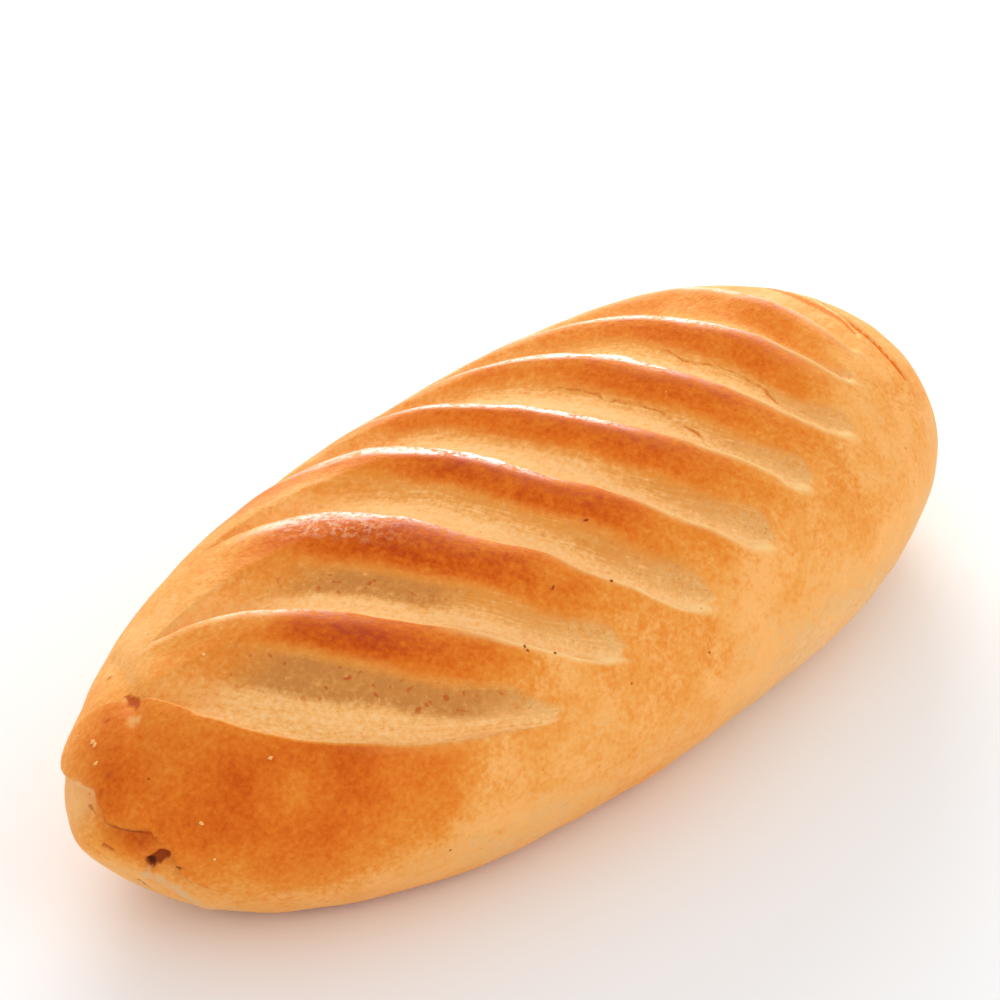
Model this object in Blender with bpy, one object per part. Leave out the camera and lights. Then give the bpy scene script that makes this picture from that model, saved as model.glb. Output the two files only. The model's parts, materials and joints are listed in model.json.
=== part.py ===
"""A whole vienna loaf, lying on its flat underside.

The long axis runs along X with the folded end at -X, and Z is up. The loaf is one
solid: a plump body, nine slanting cuts that have opened across its top, and a torn
seam under the crust of the folded end. The origin is the middle of the underside.
"""

import math
from collections import namedtuple

import bmesh
import bpy
from mathutils import Matrix, Vector, noise

# Driving dimensions, in metres.
LOAF_LENGTH = 0.300
LOAF_WIDTH = 0.140
LOAF_HEIGHT = 0.0815
WAIST_HEIGHT = 0.031       # level at which the loaf is widest
NOSE_LIFT = 0.0055         # how much higher the waist lies at the folded end
BELLY_DEPTH = 0.047        # how far the round underside would hang below the waist
AXIS_BOW = 0.0016          # both ends lean to this side of the long axis
AXIS_SWAY = 0.0043         # the folded end sways to +Y, the far end to -Y

# How blunt each end is: larger values keep the full size for longer.
NOSE_PLAN, NOSE_CROWN, NOSE_BELLY, NOSE_ROUND = 1.95, 2.25, 3.0, 1.87
TAIL_PLAN, TAIL_CROWN, TAIL_BELLY, TAIL_ROUND = 2.67, 2.88, 4.0, 2.49

# The cuts, from the folded end. In plan a cut crosses the centre line at place; lean is
# its slope there, bow bends it evenly and hook curls its near end towards the far end.
# It reaches from near_end to far_end across the loaf, and is depth deep.
Cut = namedtuple("Cut", "place lean bow hook near_end far_end depth")
CUTS = (
    Cut(-0.119, -0.22, 0.005, 0.050, -0.059, 0.014, 0.0045),
    Cut(-0.083, -0.66, -0.022, 0.040, -0.059, 0.030, 0.0055),
    Cut(-0.041, -0.42, -0.014, 0.034, -0.061, 0.044, 0.0055),
    Cut(-0.009, -0.35, 0.004, 0.021, -0.058, 0.054, 0.0055),
    Cut(0.021, -0.47, 0.006, 0.008, -0.052, 0.056, 0.0050),
    Cut(0.054, -0.38, 0.000, 0.022, -0.046, 0.053, 0.0050),
    Cut(0.086, -0.38, -0.006, 0.016, -0.034, 0.046, 0.0045),
    Cut(0.115, -0.05, -0.006, 0.022, -0.026, 0.034, 0.0035),
    Cut(0.131, 0.15, 0.000, 0.000, -0.036, 0.012, 0.0012),
)
CUT_SPAN = 0.060           # distance from the centre line at which bow and hook are given

# The shape across a cut, as distances from its sharp lip.
DROP_LENGTH = 0.0060       # from the lip down to the floor
FLOOR_LENGTH = 0.0050      # the flat of the floor
RISE_SHARE = 0.85          # share of the way to the next lip at which the ridge is full
LIP_SWELL = 0.12           # how far the crust swells above the body, as a share of depth
SWELL_SHARE = 0.35         # share of the way to the next lip over which it swells
END_FADE = 0.012           # length over which a cut runs out at the near side
FAR_FADE = 0.022           # and at the far side
GROOVE_LENGTH = 0.009      # width of the last, barely opened cut

# The torn seam under the crust of the folded end, seen from that end.
SEAM_HEIGHT = 0.0445
SEAM_DEPTH = 0.0042
SEAM_STEP = 0.0025         # height over which the crust's edge drops to the lower dough
SEAM_FADE = 0.0090         # how far below the crust's edge the lower dough is tucked in
SEAM_LIP = 0.0012          # how far the crust's edge stands out
SEAM_LIP_FADE = 0.0050     # and how far above the edge this reaches
SEAM_BEND = -0.008         # where the crust's edge turns down, across the loaf
SEAM_SLOPE = 0.70          # how steeply it turns down from there
SEAM_NEAR = -0.026
SEAM_FAR = 0.038
SEAM_SOFT = 0.010          # length over which the seam runs out at its two ends
NOSE_REACH = -0.110        # the seam lies beyond this station only

# The crease round the folded flap of dough, from the far side down to the seam, and
# the two places where the folded end is hollow: the flap itself and the torn corner.
CREASE_DEPTH = 0.0016
CREASE_WIDTH = 0.0040
CREASE_PATH = (
    Vector((-0.113, 0.038, 0.053)),
    Vector((-0.123, 0.017, 0.060)),
    Vector((-0.135, 0.001, 0.055)),
    Vector((-0.142, -0.012, 0.044)),
)
Hollow = namedtuple("Hollow", "centre radius depth")
HOLLOWS = (
    Hollow(Vector((-0.126, 0.041, 0.046)), 0.019, 0.0029),
    Hollow(Vector((-0.141, -0.010, 0.021)), 0.021, 0.0037),
)

# Slow unevenness of the whole body.
SWELL_SIZE = 0.045
SWELL_HEIGHT = 0.0010
SWELL_START = Vector((3.1, 1.7, 5.2))

# Fineness of the mesh.
SECTION_SEGMENTS = 60
NOSE_RINGS = 22
RIDGE_RINGS = 9
TAIL_RINGS = 9
RING_SEARCHES = 40
SAME_POINT = 0.00001

CRUST_COLOUR = (0.62, 0.25, 0.055, 1.0)
CRUST_ROUGHNESS = 0.42
CRUST_METALLIC = 0.0

HALF_LENGTH = LOAF_LENGTH / 2


def clear_scene():
    """Start from an empty scene."""
    for item in list(bpy.data.objects):
        bpy.data.objects.remove(item, do_unlink=True)


def blend(value, start, end):
    """Rise smoothly from 0 at start to 1 at end."""
    share = min(max((value - start) / (end - start), 0.0), 1.0)
    return share * share * (3.0 - 2.0 * share)


def between(value, places, heights):
    """Read a line of straight stretches at one place."""
    for left, right, low, high in zip(places, places[1:], heights, heights[1:]):
        if value <= right:
            share = max(value - left, 0.0) / (right - left)
            return low + share * (high - low)
    return heights[-1]


def taper(share, fullness, roundness):
    """Size left at a share of the way from the middle to one end."""
    return max(1.0 - share ** fullness, 0.0) ** (1.0 / roundness)


def section(x):
    """Half width, crown height, belly depth, centre and waist of the body at a station."""
    share = min(abs(x) / HALF_LENGTH, 1.0)
    at_nose = x < 0
    plan, crown, belly, rounding = (
        (NOSE_PLAN, NOSE_CROWN, NOSE_BELLY, NOSE_ROUND) if at_nose
        else (TAIL_PLAN, TAIL_CROWN, TAIL_BELLY, TAIL_ROUND)
    )
    waist = WAIST_HEIGHT + (NOSE_LIFT * share ** 3 if at_nose else 0.0)
    centre = AXIS_BOW * share ** 2 - AXIS_SWAY * math.copysign(share ** 3, x)
    half_width = LOAF_WIDTH / 2 * taper(share, plan, rounding)
    crown_height = (LOAF_HEIGHT - waist) * taper(share, crown, rounding)
    belly_depth = BELLY_DEPTH * taper(share, belly, 2.0)
    return half_width, crown_height, belly_depth, centre, waist


def slant(place, y):
    """How far the ring that crosses the centre line at place has moved along X at y."""
    places = [-HALF_LENGTH] + [cut.place for cut in CUTS] + [HALF_LENGTH]
    lean = between(place, places, [0.0] + [cut.lean for cut in CUTS] + [0.0])
    bow = between(place, places, [0.0] + [cut.bow for cut in CUTS] + [0.0])
    hook = between(place, places, [0.0] + [cut.hook for cut in CUTS] + [0.0])
    across = y / CUT_SPAN
    return lean * y + bow * across ** 2 - hook * across ** 3


def body_point(place, angle):
    """The point of the plain body at an angle round the slanted ring through place."""
    low, high = -HALF_LENGTH, HALF_LENGTH
    for _ in range(RING_SEARCHES):
        x = (low + high) / 2
        half_width, crown_height, belly_depth, centre, waist = section(x)
        y = centre + half_width * math.cos(angle)
        if x < place + slant(place, y):
            low = x
        else:
            high = x
    rise = crown_height if math.sin(angle) > 0 else belly_depth
    return Vector((x, y, waist + rise * math.sin(angle)))


def ring_places():
    """Where each ring crosses the centre line, with the number of the cut behind it."""
    first, last = CUTS[0].place, CUTS[-1].place
    nose = first + HALF_LENGTH
    tail = HALF_LENGTH - last
    rings = [(-HALF_LENGTH + nose * (1 - math.cos(math.pi / 2 * i / NOSE_RINGS)), -1)
             for i in range(NOSE_RINGS)]
    for number, (cut, following) in enumerate(zip(CUTS, CUTS[1:])):
        gap = following.place - cut.place
        rings += [(cut.place + gap * (i / RIDGE_RINGS) ** 1.15, number) for i in range(RIDGE_RINGS)]
    rings += [(last + tail * math.sin(math.pi / 2 * i / TAIL_RINGS), len(CUTS) - 1)
              for i in range(TAIL_RINGS + 1)]
    return rings


def across_cut(place, number):
    """Depth across the cuts as a share: 1 on a floor, below 0 where the crust swells."""
    if number < 0:
        ahead = CUTS[0].place - place
        return -LIP_SWELL * (1.0 - blend(ahead, 0.0, DROP_LENGTH * 2))
    behind = place - CUTS[number].place
    if number == len(CUTS) - 1:
        return 1.0 - blend(abs(behind), 0.0, GROOVE_LENGTH)
    gap = CUTS[number + 1].place - CUTS[number].place
    if behind < DROP_LENGTH:
        drop = math.sin(math.pi / 2 * behind / DROP_LENGTH)
        return drop * (1.0 + LIP_SWELL) - LIP_SWELL
    rise = 1.0 - blend(behind, DROP_LENGTH + FLOOR_LENGTH, gap * RISE_SHARE)
    return rise - LIP_SWELL * blend(behind, gap * (1.0 - SWELL_SHARE), gap)


def along_cut(cut, y):
    """Share of a cut's depth that is left at y."""
    near = blend(y, cut.near_end, cut.near_end + END_FADE)
    far = 1.0 - blend(y, cut.far_end - FAR_FADE, cut.far_end)
    return near * far


def cut_depth(place, number, y):
    """How deep the opened cuts lie below the body, negative where the crust swells."""
    behind = CUTS[max(number, 0)]
    ahead = CUTS[min(number + 1, len(CUTS) - 1)]
    share = across_cut(place, number)
    if share > 0:
        return share * behind.depth * along_cut(behind, y)
    return share * ahead.depth * along_cut(ahead, y)


def seam_line(y):
    """Height of the crust's lower edge at the folded end."""
    return SEAM_HEIGHT - SEAM_SLOPE * max(SEAM_BEND - y, 0.0)


def seam_depth(point):
    """The crust's edge at the folded end and the dough tucked in below it."""
    below = seam_line(point.y) - point.z
    if point.x > NOSE_REACH:
        return 0.0
    reach = blend(point.y, SEAM_NEAR, SEAM_NEAR + SEAM_SOFT)
    reach *= 1.0 - blend(point.y, SEAM_FAR - SEAM_SOFT, SEAM_FAR)
    if below < 0:
        return -SEAM_LIP * reach * math.exp(below / SEAM_LIP_FADE)
    tuck = (SEAM_DEPTH + SEAM_LIP) * blend(below, 0.0, SEAM_STEP) - SEAM_LIP
    return reach * tuck * math.exp(-below / SEAM_FADE)


def distance_to_path(point, path):
    """Distance from a point to a line of straight stretches."""
    nearest = []
    for start, end in zip(path, path[1:]):
        line = end - start
        share = min(max((point - start).dot(line) / line.length_squared, 0.0), 1.0)
        nearest.append((point - start - line * share).length)
    return min(nearest)


def crease_depth(point):
    """The soft crease round the folded flap."""
    return CREASE_DEPTH * math.exp(-(distance_to_path(point, CREASE_PATH) / CREASE_WIDTH) ** 2)


def hollow_depth(point):
    """The hollow places of the folded end."""
    return sum(hollow.depth * math.exp(-((point - hollow.centre).length / hollow.radius) ** 2)
               for hollow in HOLLOWS)


def body_swell(point):
    """Slow bumps and hollows that every hand-shaped loaf has."""
    return SWELL_HEIGHT * noise.noise(point / SWELL_SIZE + SWELL_START)


def shape_loaf():
    """Model the loaf as one closed mesh, standing on the plane z = 0."""
    rings = ring_places()
    bands = len(rings) - 1
    shape = bmesh.new()
    bmesh.ops.create_uvsphere(shape, u_segments=SECTION_SEGMENTS, v_segments=bands, radius=1.0)
    ring_of = {}
    for vert in shape.verts:
        latitude = math.asin(min(max(-vert.co.z, -1.0), 1.0))
        ring_of[vert] = rings[round((latitude / math.pi + 0.5) * bands)]
        angle = math.atan2(vert.co.x, vert.co.y)
        vert.co = body_point(ring_of[vert][0], angle)
    bmesh.ops.recalc_face_normals(shape, faces=shape.faces)
    shape.normal_update()
    moves = {}
    for vert in shape.verts:
        place, number = ring_of[vert]
        inward = cut_depth(place, number, vert.co.y) if vert.co.z > WAIST_HEIGHT else 0.0
        inward += seam_depth(vert.co) + crease_depth(vert.co) + hollow_depth(vert.co)
        inward -= body_swell(vert.co)
        moves[vert] = -inward * vert.normal
    for vert, move in moves.items():
        vert.co += move
    flatten_underside(shape)
    centre_on_origin(shape)
    return shape


def flatten_underside(shape):
    """Cut the body where it sat on the tray and close it with one flat face."""
    everything = shape.verts[:] + shape.edges[:] + shape.faces[:]
    bmesh.ops.bisect_plane(shape, geom=everything, dist=SAME_POINT, plane_co=(0, 0, 0),
                           plane_no=(0, 0, -1), clear_outer=True)
    bmesh.ops.remove_doubles(shape, verts=shape.verts, dist=SAME_POINT)
    rim = [edge for edge in shape.edges if edge.is_boundary]
    bmesh.ops.edgenet_fill(shape, edges=rim)
    bmesh.ops.recalc_face_normals(shape, faces=shape.faces)


def centre_on_origin(shape):
    """Put the middle of the underside's box on the origin."""
    xs = [vert.co.x for vert in shape.verts]
    ys = [vert.co.y for vert in shape.verts]
    middle = Vector(((min(xs) + max(xs)) / 2, (min(ys) + max(ys)) / 2, 0.0))
    bmesh.ops.transform(shape, matrix=Matrix.Translation(-middle), verts=shape.verts)


def crust_material():
    """Browned crust."""
    crust = bpy.data.materials.new("crust")
    crust.use_nodes = True
    shader = crust.node_tree.nodes["Principled BSDF"]
    shader.inputs["Base Color"].default_value = CRUST_COLOUR
    shader.inputs["Roughness"].default_value = CRUST_ROUGHNESS
    shader.inputs["Metallic"].default_value = CRUST_METALLIC
    crust.diffuse_color = CRUST_COLOUR
    return crust


def build_loaf():
    """Make the loaf's object."""
    shape = shape_loaf()
    mesh = bpy.data.meshes.new("loaf")
    shape.to_mesh(mesh)
    shape.free()
    mesh.materials.append(crust_material())
    mesh.shade_smooth()
    loaf = bpy.data.objects.new("loaf", mesh)
    bpy.context.scene.collection.objects.link(loaf)
    return loaf


clear_scene()
build_loaf()
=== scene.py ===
# %% [markdown]
# # A whole vienna loaf
#
# This lesson dresses one loaf of bread. The frame that is loaded first holds the loaf as a
# plain solid: its length, width, height and the places of its nine cuts are settled there.
# Here it gets its skin: fine lips, torn dough, pores, and a browned and a pale side of every
# cut. At the end it stands in the soft light of a bright studio.
#
# Everything is in metres, with +X along the loaf to its plain end and +Z up.

import json
import math
import random
from collections import namedtuple

import bmesh
import bpy
import numpy as np
from mathutils import Matrix, Vector, noise

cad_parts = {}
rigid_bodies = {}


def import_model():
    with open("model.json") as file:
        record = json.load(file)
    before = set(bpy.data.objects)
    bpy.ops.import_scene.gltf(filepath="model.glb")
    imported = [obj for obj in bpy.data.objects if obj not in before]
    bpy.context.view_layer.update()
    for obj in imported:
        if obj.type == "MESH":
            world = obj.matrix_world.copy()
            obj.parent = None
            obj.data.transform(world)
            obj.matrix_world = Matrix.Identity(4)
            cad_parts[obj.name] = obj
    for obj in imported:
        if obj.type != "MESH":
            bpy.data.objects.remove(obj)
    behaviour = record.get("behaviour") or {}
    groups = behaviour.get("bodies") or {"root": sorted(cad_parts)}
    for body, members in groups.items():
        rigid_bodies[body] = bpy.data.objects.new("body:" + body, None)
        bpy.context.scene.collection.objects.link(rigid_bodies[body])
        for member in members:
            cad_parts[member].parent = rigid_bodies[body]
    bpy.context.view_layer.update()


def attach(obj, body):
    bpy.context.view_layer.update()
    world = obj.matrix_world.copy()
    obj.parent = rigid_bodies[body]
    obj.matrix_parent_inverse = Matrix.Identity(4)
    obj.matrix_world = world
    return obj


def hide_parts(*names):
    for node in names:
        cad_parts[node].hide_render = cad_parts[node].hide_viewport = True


for item in list(bpy.data.objects):
    bpy.data.objects.remove(item, do_unlink=True)

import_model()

# %% [markdown]
# ## The sizes that drive the form
#
# A baker rolls the dough to a plump cylinder with rounded ends. Such a body is best
# described by a few numbers: how long, wide and high it is, where its waist lies, and how
# blunt each end is. The folded end has a slimmer, higher waist than the plain end. The
# numbers repeat the solid's, so that the skin lies where the solid lies.

# %% Sizes of the body
MM = 0.001
LOAF_LENGTH = 0.300
LOAF_WIDTH = 0.140
LOAF_HEIGHT = 0.0815
WAIST_HEIGHT = 0.031
NOSE_LIFT = 0.0055
BELLY_DEPTH = 0.047
AXIS_BOW = 0.0016
AXIS_SWAY = 0.0043
HALF_LENGTH = LOAF_LENGTH / 2
NOSE_PLAN, NOSE_CROWN, NOSE_BELLY, NOSE_ROUND = 1.95, 2.25, 3.0, 1.87
TAIL_PLAN, TAIL_CROWN, TAIL_BELLY, TAIL_ROUND = 2.67, 2.88, 4.0, 2.49


def blend(value, start, end):
    """Rise smoothly from 0 at start to 1 at end."""
    share = np.clip((value - start) / (end - start), 0.0, 1.0)
    return share * share * (3.0 - 2.0 * share)


def taper(share, fullness, roundness):
    """Size left at a share of the way from the middle to one end."""
    return np.maximum(1.0 - share ** fullness, 0.0) ** (1.0 / roundness)


def section(x):
    """Half width, crown height, belly depth, centre and waist of the body at stations."""
    share = np.minimum(np.abs(x) / HALF_LENGTH, 1.0)
    at_nose = x < 0
    rounding = np.where(at_nose, NOSE_ROUND, TAIL_ROUND)
    waist = WAIST_HEIGHT + np.where(at_nose, NOSE_LIFT * share ** 3, 0.0)
    centre = AXIS_BOW * share ** 2 - AXIS_SWAY * np.sign(x) * share ** 3
    half_width = LOAF_WIDTH / 2 * taper(share, np.where(at_nose, NOSE_PLAN, TAIL_PLAN), rounding)
    crown_shape = taper(share, np.where(at_nose, NOSE_CROWN, TAIL_CROWN), rounding)
    crown_height = (LOAF_HEIGHT - waist) * crown_shape
    belly_depth = BELLY_DEPTH * taper(share, np.where(at_nose, NOSE_BELLY, TAIL_BELLY), 2.0)
    return half_width, crown_height, belly_depth, centre, waist


print("half width in the middle:", round(float(section(np.array(0.0))[0]), 4))

# %% [markdown]
# ## Where the blade went
#
# Nine slanting cuts open in the oven. In plan each crosses the middle line at `place`, with
# a lean there, an even bow, and a hook that curls its near end towards the plain end. If the
# mesh's rings run straight across, a cut's lip would be a staircase. So every ring follows
# the slant of the cuts beside it, and each lip lies exactly on a ring.

# %% The nine cuts
Cut = namedtuple("Cut", "place lean bow hook near_end far_end depth")
CUTS = (
    Cut(-0.119, -0.22, 0.005, 0.050, -0.059, 0.014, 0.0045),
    Cut(-0.083, -0.66, -0.022, 0.040, -0.059, 0.026, 0.0055),
    Cut(-0.041, -0.42, -0.014, 0.034, -0.061, 0.040, 0.0055),
    Cut(-0.009, -0.35, 0.004, 0.021, -0.058, 0.054, 0.0055),
    Cut(0.021, -0.47, 0.006, 0.008, -0.052, 0.056, 0.0050),
    Cut(0.054, -0.38, 0.000, 0.022, -0.046, 0.053, 0.0050),
    Cut(0.086, -0.38, -0.006, 0.016, -0.034, 0.046, 0.0045),
    Cut(0.1105, -0.05, -0.006, 0.018, -0.026, 0.034, 0.0030),
    Cut(0.131, 0.17, 0.000, 0.012, -0.036, 0.012, 0.0012),
)
CUT_SPAN = 0.060
CUT_PLACES = np.array([cut.place for cut in CUTS])
LAST_CUT = len(CUTS) - 1


def along_loaf(place, name):
    """One number of the cuts, read at places between them and running out at both ends."""
    places = np.concatenate(([-HALF_LENGTH], CUT_PLACES, [HALF_LENGTH]))
    return np.interp(place, places, [0.0] + [getattr(cut, name) for cut in CUTS] + [0.0])


def slant(place, y):
    """How far the ring that crosses the middle line at place has moved along X at y."""
    across = y / CUT_SPAN
    bend = along_loaf(place, "bow") * across ** 2 - along_loaf(place, "hook") * across ** 3
    return along_loaf(place, "lean") * y + bend


# %% [markdown]
# ## How fine the mesh is
#
# The rings crowd together at the lips, where the crust turns sharply, and the points round a
# ring crowd on the crown and the sides, because the flat underside needs few. A ball of even
# faces would need many times as many for the same lip.

# %% Rings and the points round them
NOSE_RINGS = 84
GAP_RINGS = 40
LAST_GAP_RINGS = 24
TAIL_RINGS = 36
CROWDING = 0.72
CROWN_POINTS = 140
SIDE_POINTS = 26
BASE_POINTS = 32
BASE_ANGLE = math.asin(WAIST_HEIGHT / BELLY_DEPTH)


def ring_places():
    """Where each ring crosses the middle line, and the number of the cut behind it."""
    nose = CUT_PLACES[0] + HALF_LENGTH
    tail = HALF_LENGTH - CUT_PLACES[-1]
    steps = np.arange(NOSE_RINGS) / NOSE_RINGS
    places = list(-HALF_LENGTH + nose * (1.0 - np.cos(math.pi / 2 * steps)))
    numbers = [-1] * NOSE_RINGS
    for number, (place, following) in enumerate(zip(CUT_PLACES, CUT_PLACES[1:])):
        rings = LAST_GAP_RINGS if number == LAST_CUT - 1 else GAP_RINGS
        steps = np.arange(rings) / rings
        crowded = steps - CROWDING * np.sin(2 * math.pi * steps) / (2 * math.pi)
        places += list(place + (following - place) * crowded)
        numbers += [number] * rings
    steps = np.arange(TAIL_RINGS + 1) / TAIL_RINGS
    places += list(CUT_PLACES[-1] + tail * np.sin(math.pi / 2 * steps))
    numbers += [LAST_CUT] * (TAIL_RINGS + 1)
    return np.array(places)[:, None], np.array(numbers)[:, None]


def point_angles():
    """The angle of each point round a ring, from the far waist over the crown."""
    joints = np.cumsum([0, CROWN_POINTS, SIDE_POINTS, BASE_POINTS, SIDE_POINTS])
    angles = [0.0, math.pi, math.pi + BASE_ANGLE, 2 * math.pi - BASE_ANGLE, 2 * math.pi]
    return np.interp(np.arange(joints[-1]), joints, angles)[None, :]


place, behind_cut = ring_places()
angle = point_angles()
print("rings:", len(place), "points on each:", angle.size)

# %% [markdown]
# ## The plain body
#
# Each ring is an ellipse above the waist and a deeper one below it. A slanted ring meets the
# body where its station and its slant agree, and halving the search range forty times finds
# that place for all the points at once. Directions away from the surface come from the
# neighbours of each point, which is what Blender's own vertex normals do as well.

# %% The body as a net of points
SEARCHES = 40


def plain_body(place, angle):
    """The net of points of the body without its cuts."""
    low = np.full((len(place), angle.size), -HALF_LENGTH)
    high = -low
    for _ in range(SEARCHES):
        x = (low + high) / 2
        half_width, crown_height, belly_depth, centre, waist = section(x)
        y = centre + half_width * np.cos(angle)
        short = x < place + slant(place, y)
        low = np.where(short, x, low)
        high = np.where(short, high, x)
    rise = np.where(np.sin(angle) > 0, crown_height, belly_depth)
    return np.stack([x, y, waist + rise * np.sin(angle)], axis=-1)


def unit(vectors):
    """The same directions, one metre long."""
    return vectors / np.maximum(np.linalg.norm(vectors, axis=-1, keepdims=True), 1e-12)


def directions(net):
    """Outward direction of every point, and the direction towards the plain end."""
    onward = np.gradient(net, axis=0)
    around = np.roll(net, -1, axis=1) - np.roll(net, 1, axis=1)
    outward = unit(np.cross(around, onward))
    outward[0] = (-1.0, 0.0, 0.0)
    outward[-1] = (1.0, 0.0, 0.0)
    return outward, unit(onward)


body = plain_body(place, angle)
outward, onward = directions(body)
print("body box:", body.min((0, 1)).round(4), body.max((0, 1)).round(4))
print("crown points up:", bool(outward[len(place) // 2, CROWN_POINTS // 2, 2] > 0))

# %% [markdown]
# ## Unevenness
#
# No loaf is as regular as a formula. A random field with bumps of a given size makes slow
# swellings in the dough, and the same field with small bumps makes waves in the lips.

# %% A random field over the net
def field(net, size, start):
    """A smooth random field between -1 and 1, with bumps about as wide as size."""
    scaled = (net / np.array(size) + np.array(start)).reshape(-1, 3).tolist()
    return np.array([noise.noise(point) for point in scaled]).reshape(net.shape[:-1])


SWELL_SIZE = 0.045
SWELL_HEIGHT = 0.0010
SWELL_START = (3.1, 1.7, 5.2)
DENT_SIZE = 0.011
DENT_HEIGHT = 0.00035
DENT_START = (7.7, 2.3, 0.4)
swell = SWELL_HEIGHT * field(body, SWELL_SIZE, SWELL_START)
swell = swell + DENT_HEIGHT * field(body, DENT_SIZE, DENT_START)
print("swellings:", round(float(swell.min()), 4), "to", round(float(swell.max()), 4))

# %% [markdown]
# ## The leaf shape of a cut
#
# A blade held flat lifts one side of each cut, and in the oven the cut opens like a leaf: it
# is widest in the middle, narrows to a rounded tip on the near side and runs out on the far
# side. A sine curve from each end gives that outline, with a power that makes it blunt.

# %% Outline of an opening
TIP_REACH = 0.5 * MM
TIP_ROUND = 4 * MM
TIP_WIDTH = 0.30
NEAR_LEAF = 31 * MM
NEAR_POWER = 0.42
NEAR_BROAD = 0.80
FAR_LEAF = 22 * MM
FAR_POWER = 0.55


def of_cut(name, number):
    """One number of the cut that lies behind each point."""
    values = np.array([getattr(cut, name) for cut in CUTS])
    return values[np.clip(number, 0, LAST_CUT)]


def leaf(y, number):
    """Depth and width of an opening along the cut, as shares of its full depth and width."""
    near = np.clip((y - of_cut("near_end", number) + TIP_REACH) / NEAR_LEAF, 0.0, 1.0)
    far = np.clip((of_cut("far_end", number) - y) / FAR_LEAF, 0.0, 1.0)
    near_rise = np.sin(math.pi / 2 * near)
    far_rise = np.sin(math.pi / 2 * far) ** FAR_POWER
    broad = (TIP_WIDTH + (1.0 - TIP_WIDTH) * near_rise ** NEAR_BROAD) * (near > 0)
    return near_rise ** NEAR_POWER * far_rise, broad * far_rise


def edge_distance(behind, tip):
    """How far inside the rounded outline of an opening a point lies."""
    corner = np.hypot(np.maximum(TIP_ROUND - behind, 0.0), np.maximum(TIP_ROUND - tip, 0.0))
    return TIP_ROUND - corner


print("depth and width near a tip:", [round(float(share), 2) for share in leaf(-0.050, 2)])

# %% [markdown]
# ## Inside a cut
#
# Behind each lip come a steep wall, a soft floor and a slow rise to the next ridge. All three
# are read from one number: how far behind the lip a point lies, as a share of the opening's
# width there. One small class works that out for every point, with the torn rims beside it.

# %% Where each point lies in its cut
RISE_SHARE = 0.85
LEAST_WIDTH = 0.05 * MM
WALL_SHARE = 0.20
WALL_CURVE = 2.2
TIP_WALL = 6 * MM
DEPTH_POWER = 0.90
NOSE_CREST = 26 * MM
RIM_WIDTH = 1.4 * MM
RIM_CURL = 7 * MM
RIM_LENGTH = 34 * MM


def torn_rim(present, inside_edge, tip):
    """A soft band along one edge of an opening, which fades away from its tip."""
    band = np.where(present, np.exp(-(inside_edge / RIM_WIDTH) ** 2), 0.0)
    return band * (1.0 - blend(tip, RIM_LENGTH / 2, RIM_LENGTH))


class Opening:
    """Where each point of the net lies in the cut behind it and before the next lip."""

    def __init__(self, place, number, y):
        self.number = number
        following = np.minimum(number + 1, LAST_CUT)
        self.inside = (number >= 0) & (number < LAST_CUT)
        self.gap = np.where(self.inside, of_cut("place", following) - of_cut("place", number), 1.0)
        self.behind = place - of_cut("place", number)
        self.ahead = of_cut("place", following) - place
        self.scale = np.where(self.inside, self.gap, NOSE_CREST)
        self.tip = y - of_cut("near_end", number) + TIP_REACH
        depth_share, width_share = leaf(y, number)
        next_share, _ = leaf(y, following)
        self.share = self.behind / np.maximum(RISE_SHARE * self.gap * width_share, LEAST_WIDTH)
        self.depth = of_cut("depth", number) * depth_share ** DEPTH_POWER
        self.next_depth = of_cut("depth", following) * next_share ** DEPTH_POWER
        across = 1.0 - np.clip(self.share / WALL_SHARE, 0.0, 1.0)
        along = 1.0 - np.clip(self.tip / TIP_WALL, 0.0, 1.0)
        self.wall = 1.0 - np.clip(np.hypot(across, along), 0.0, 1.0) ** WALL_CURVE
        next_tip = y - of_cut("near_end", following) + TIP_REACH
        here = torn_rim(self.inside, edge_distance(self.behind, self.tip), self.tip)
        here = here * (1.0 - blend(self.behind, RIM_CURL / 2, RIM_CURL))
        there = torn_rim(number < LAST_CUT, edge_distance(-self.ahead, next_tip), next_tip)
        self.rim = np.maximum(here, there)


opening = Opening(place, behind_cut, body[..., 1])
print("rings inside a cut:", int(opening.inside.sum()), "of", len(place))

# %% Depth across a cut
FLOOR_SHARE = 0.34
RISE_CURVE = 1.4
LIP_SWELL = 0.20
SWELL_SHARE = 0.40
ROLL_SHARE = 0.20
ROLL_DROP = 0.20
GROOVE_LENGTH = 9 * MM
RIM_HEIGHT = 0.5 * MM
CROWN_EDGE = 6 * MM


def cut_relief(opening):
    """How deep each point lies below the plain body."""
    climb = np.clip((opening.share - FLOOR_SHARE) / (1.0 - FLOOR_SHARE), 0.0, 1.0)
    valley = opening.depth * opening.wall * (1.0 - blend(climb ** RISE_CURVE, 0.0, 1.0))
    swell = LIP_SWELL * (1.0 - blend(opening.ahead, 0.0, SWELL_SHARE * opening.scale))
    roll = ROLL_DROP * np.clip(1.0 - opening.ahead / (ROLL_SHARE * opening.scale), 0.0, 1.0) ** 2
    crest = opening.next_depth * (roll - swell) * (opening.behind != 0)
    groove = opening.depth * (1.0 - blend(np.abs(opening.behind), 0.0, GROOVE_LENGTH))
    opened = np.where(opening.inside, valley, 0.0) + crest
    return np.where(opening.number == LAST_CUT, groove, opened)


on_crown = blend(body[..., 2], WAIST_HEIGHT, WAIST_HEIGHT + CROWN_EDGE)
relief = (cut_relief(opening) - RIM_HEIGHT * opening.rim) * on_crown
print("deepest cut:", round(float(relief.max()), 4), "highest lip:", round(float(-relief.min()), 4))

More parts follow.
